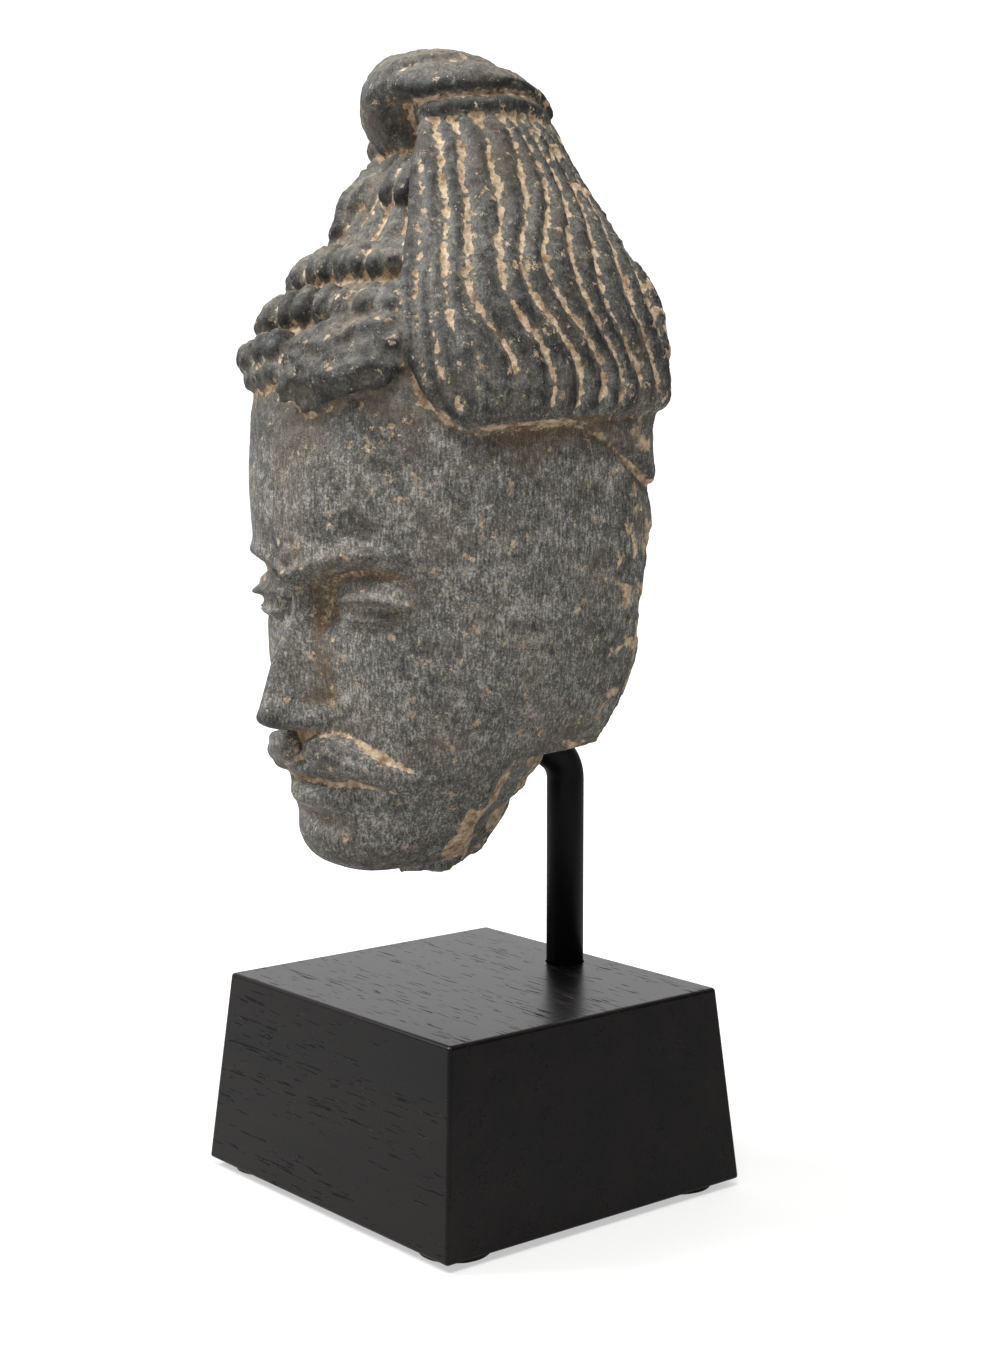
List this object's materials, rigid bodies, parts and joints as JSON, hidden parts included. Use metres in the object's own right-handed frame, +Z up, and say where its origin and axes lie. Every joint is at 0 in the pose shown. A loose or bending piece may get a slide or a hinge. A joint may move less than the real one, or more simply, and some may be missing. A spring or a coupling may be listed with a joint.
{
  "type": "schist bodhisattva head on a display stand",
  "caption": "Carved stone head with topknot, wavy side hair and moustache, broken at the back, held by a bent rod over a tapered wooden plinth.",
  "frame": {"origin": "on the surface it stands on, under the middle of the whole object's box", "axes": "+Z up, -Y the way the face looks, +X the head's own left"},
  "size_m": [0.1046, 0.1122, 0.2879],
  "materials": {
    "schist": "weathered, finely carved, with pale earth in the grooves",
    "rod_paint": "satin black",
    "plinth_wood": "black stain on open grain, satin",
    "felt": "brown felt"
  },
  "bodies": {
    "root": {"schist_head": "schist", "mounting_rod": "rod_paint", "wood_plinth": "plinth_wood", "felt_pad_front_left": "felt", "felt_pad_front_right": "felt", "felt_pad_back_left": "felt", "felt_pad_back_right": "felt"}
  },
  "joints": []
}
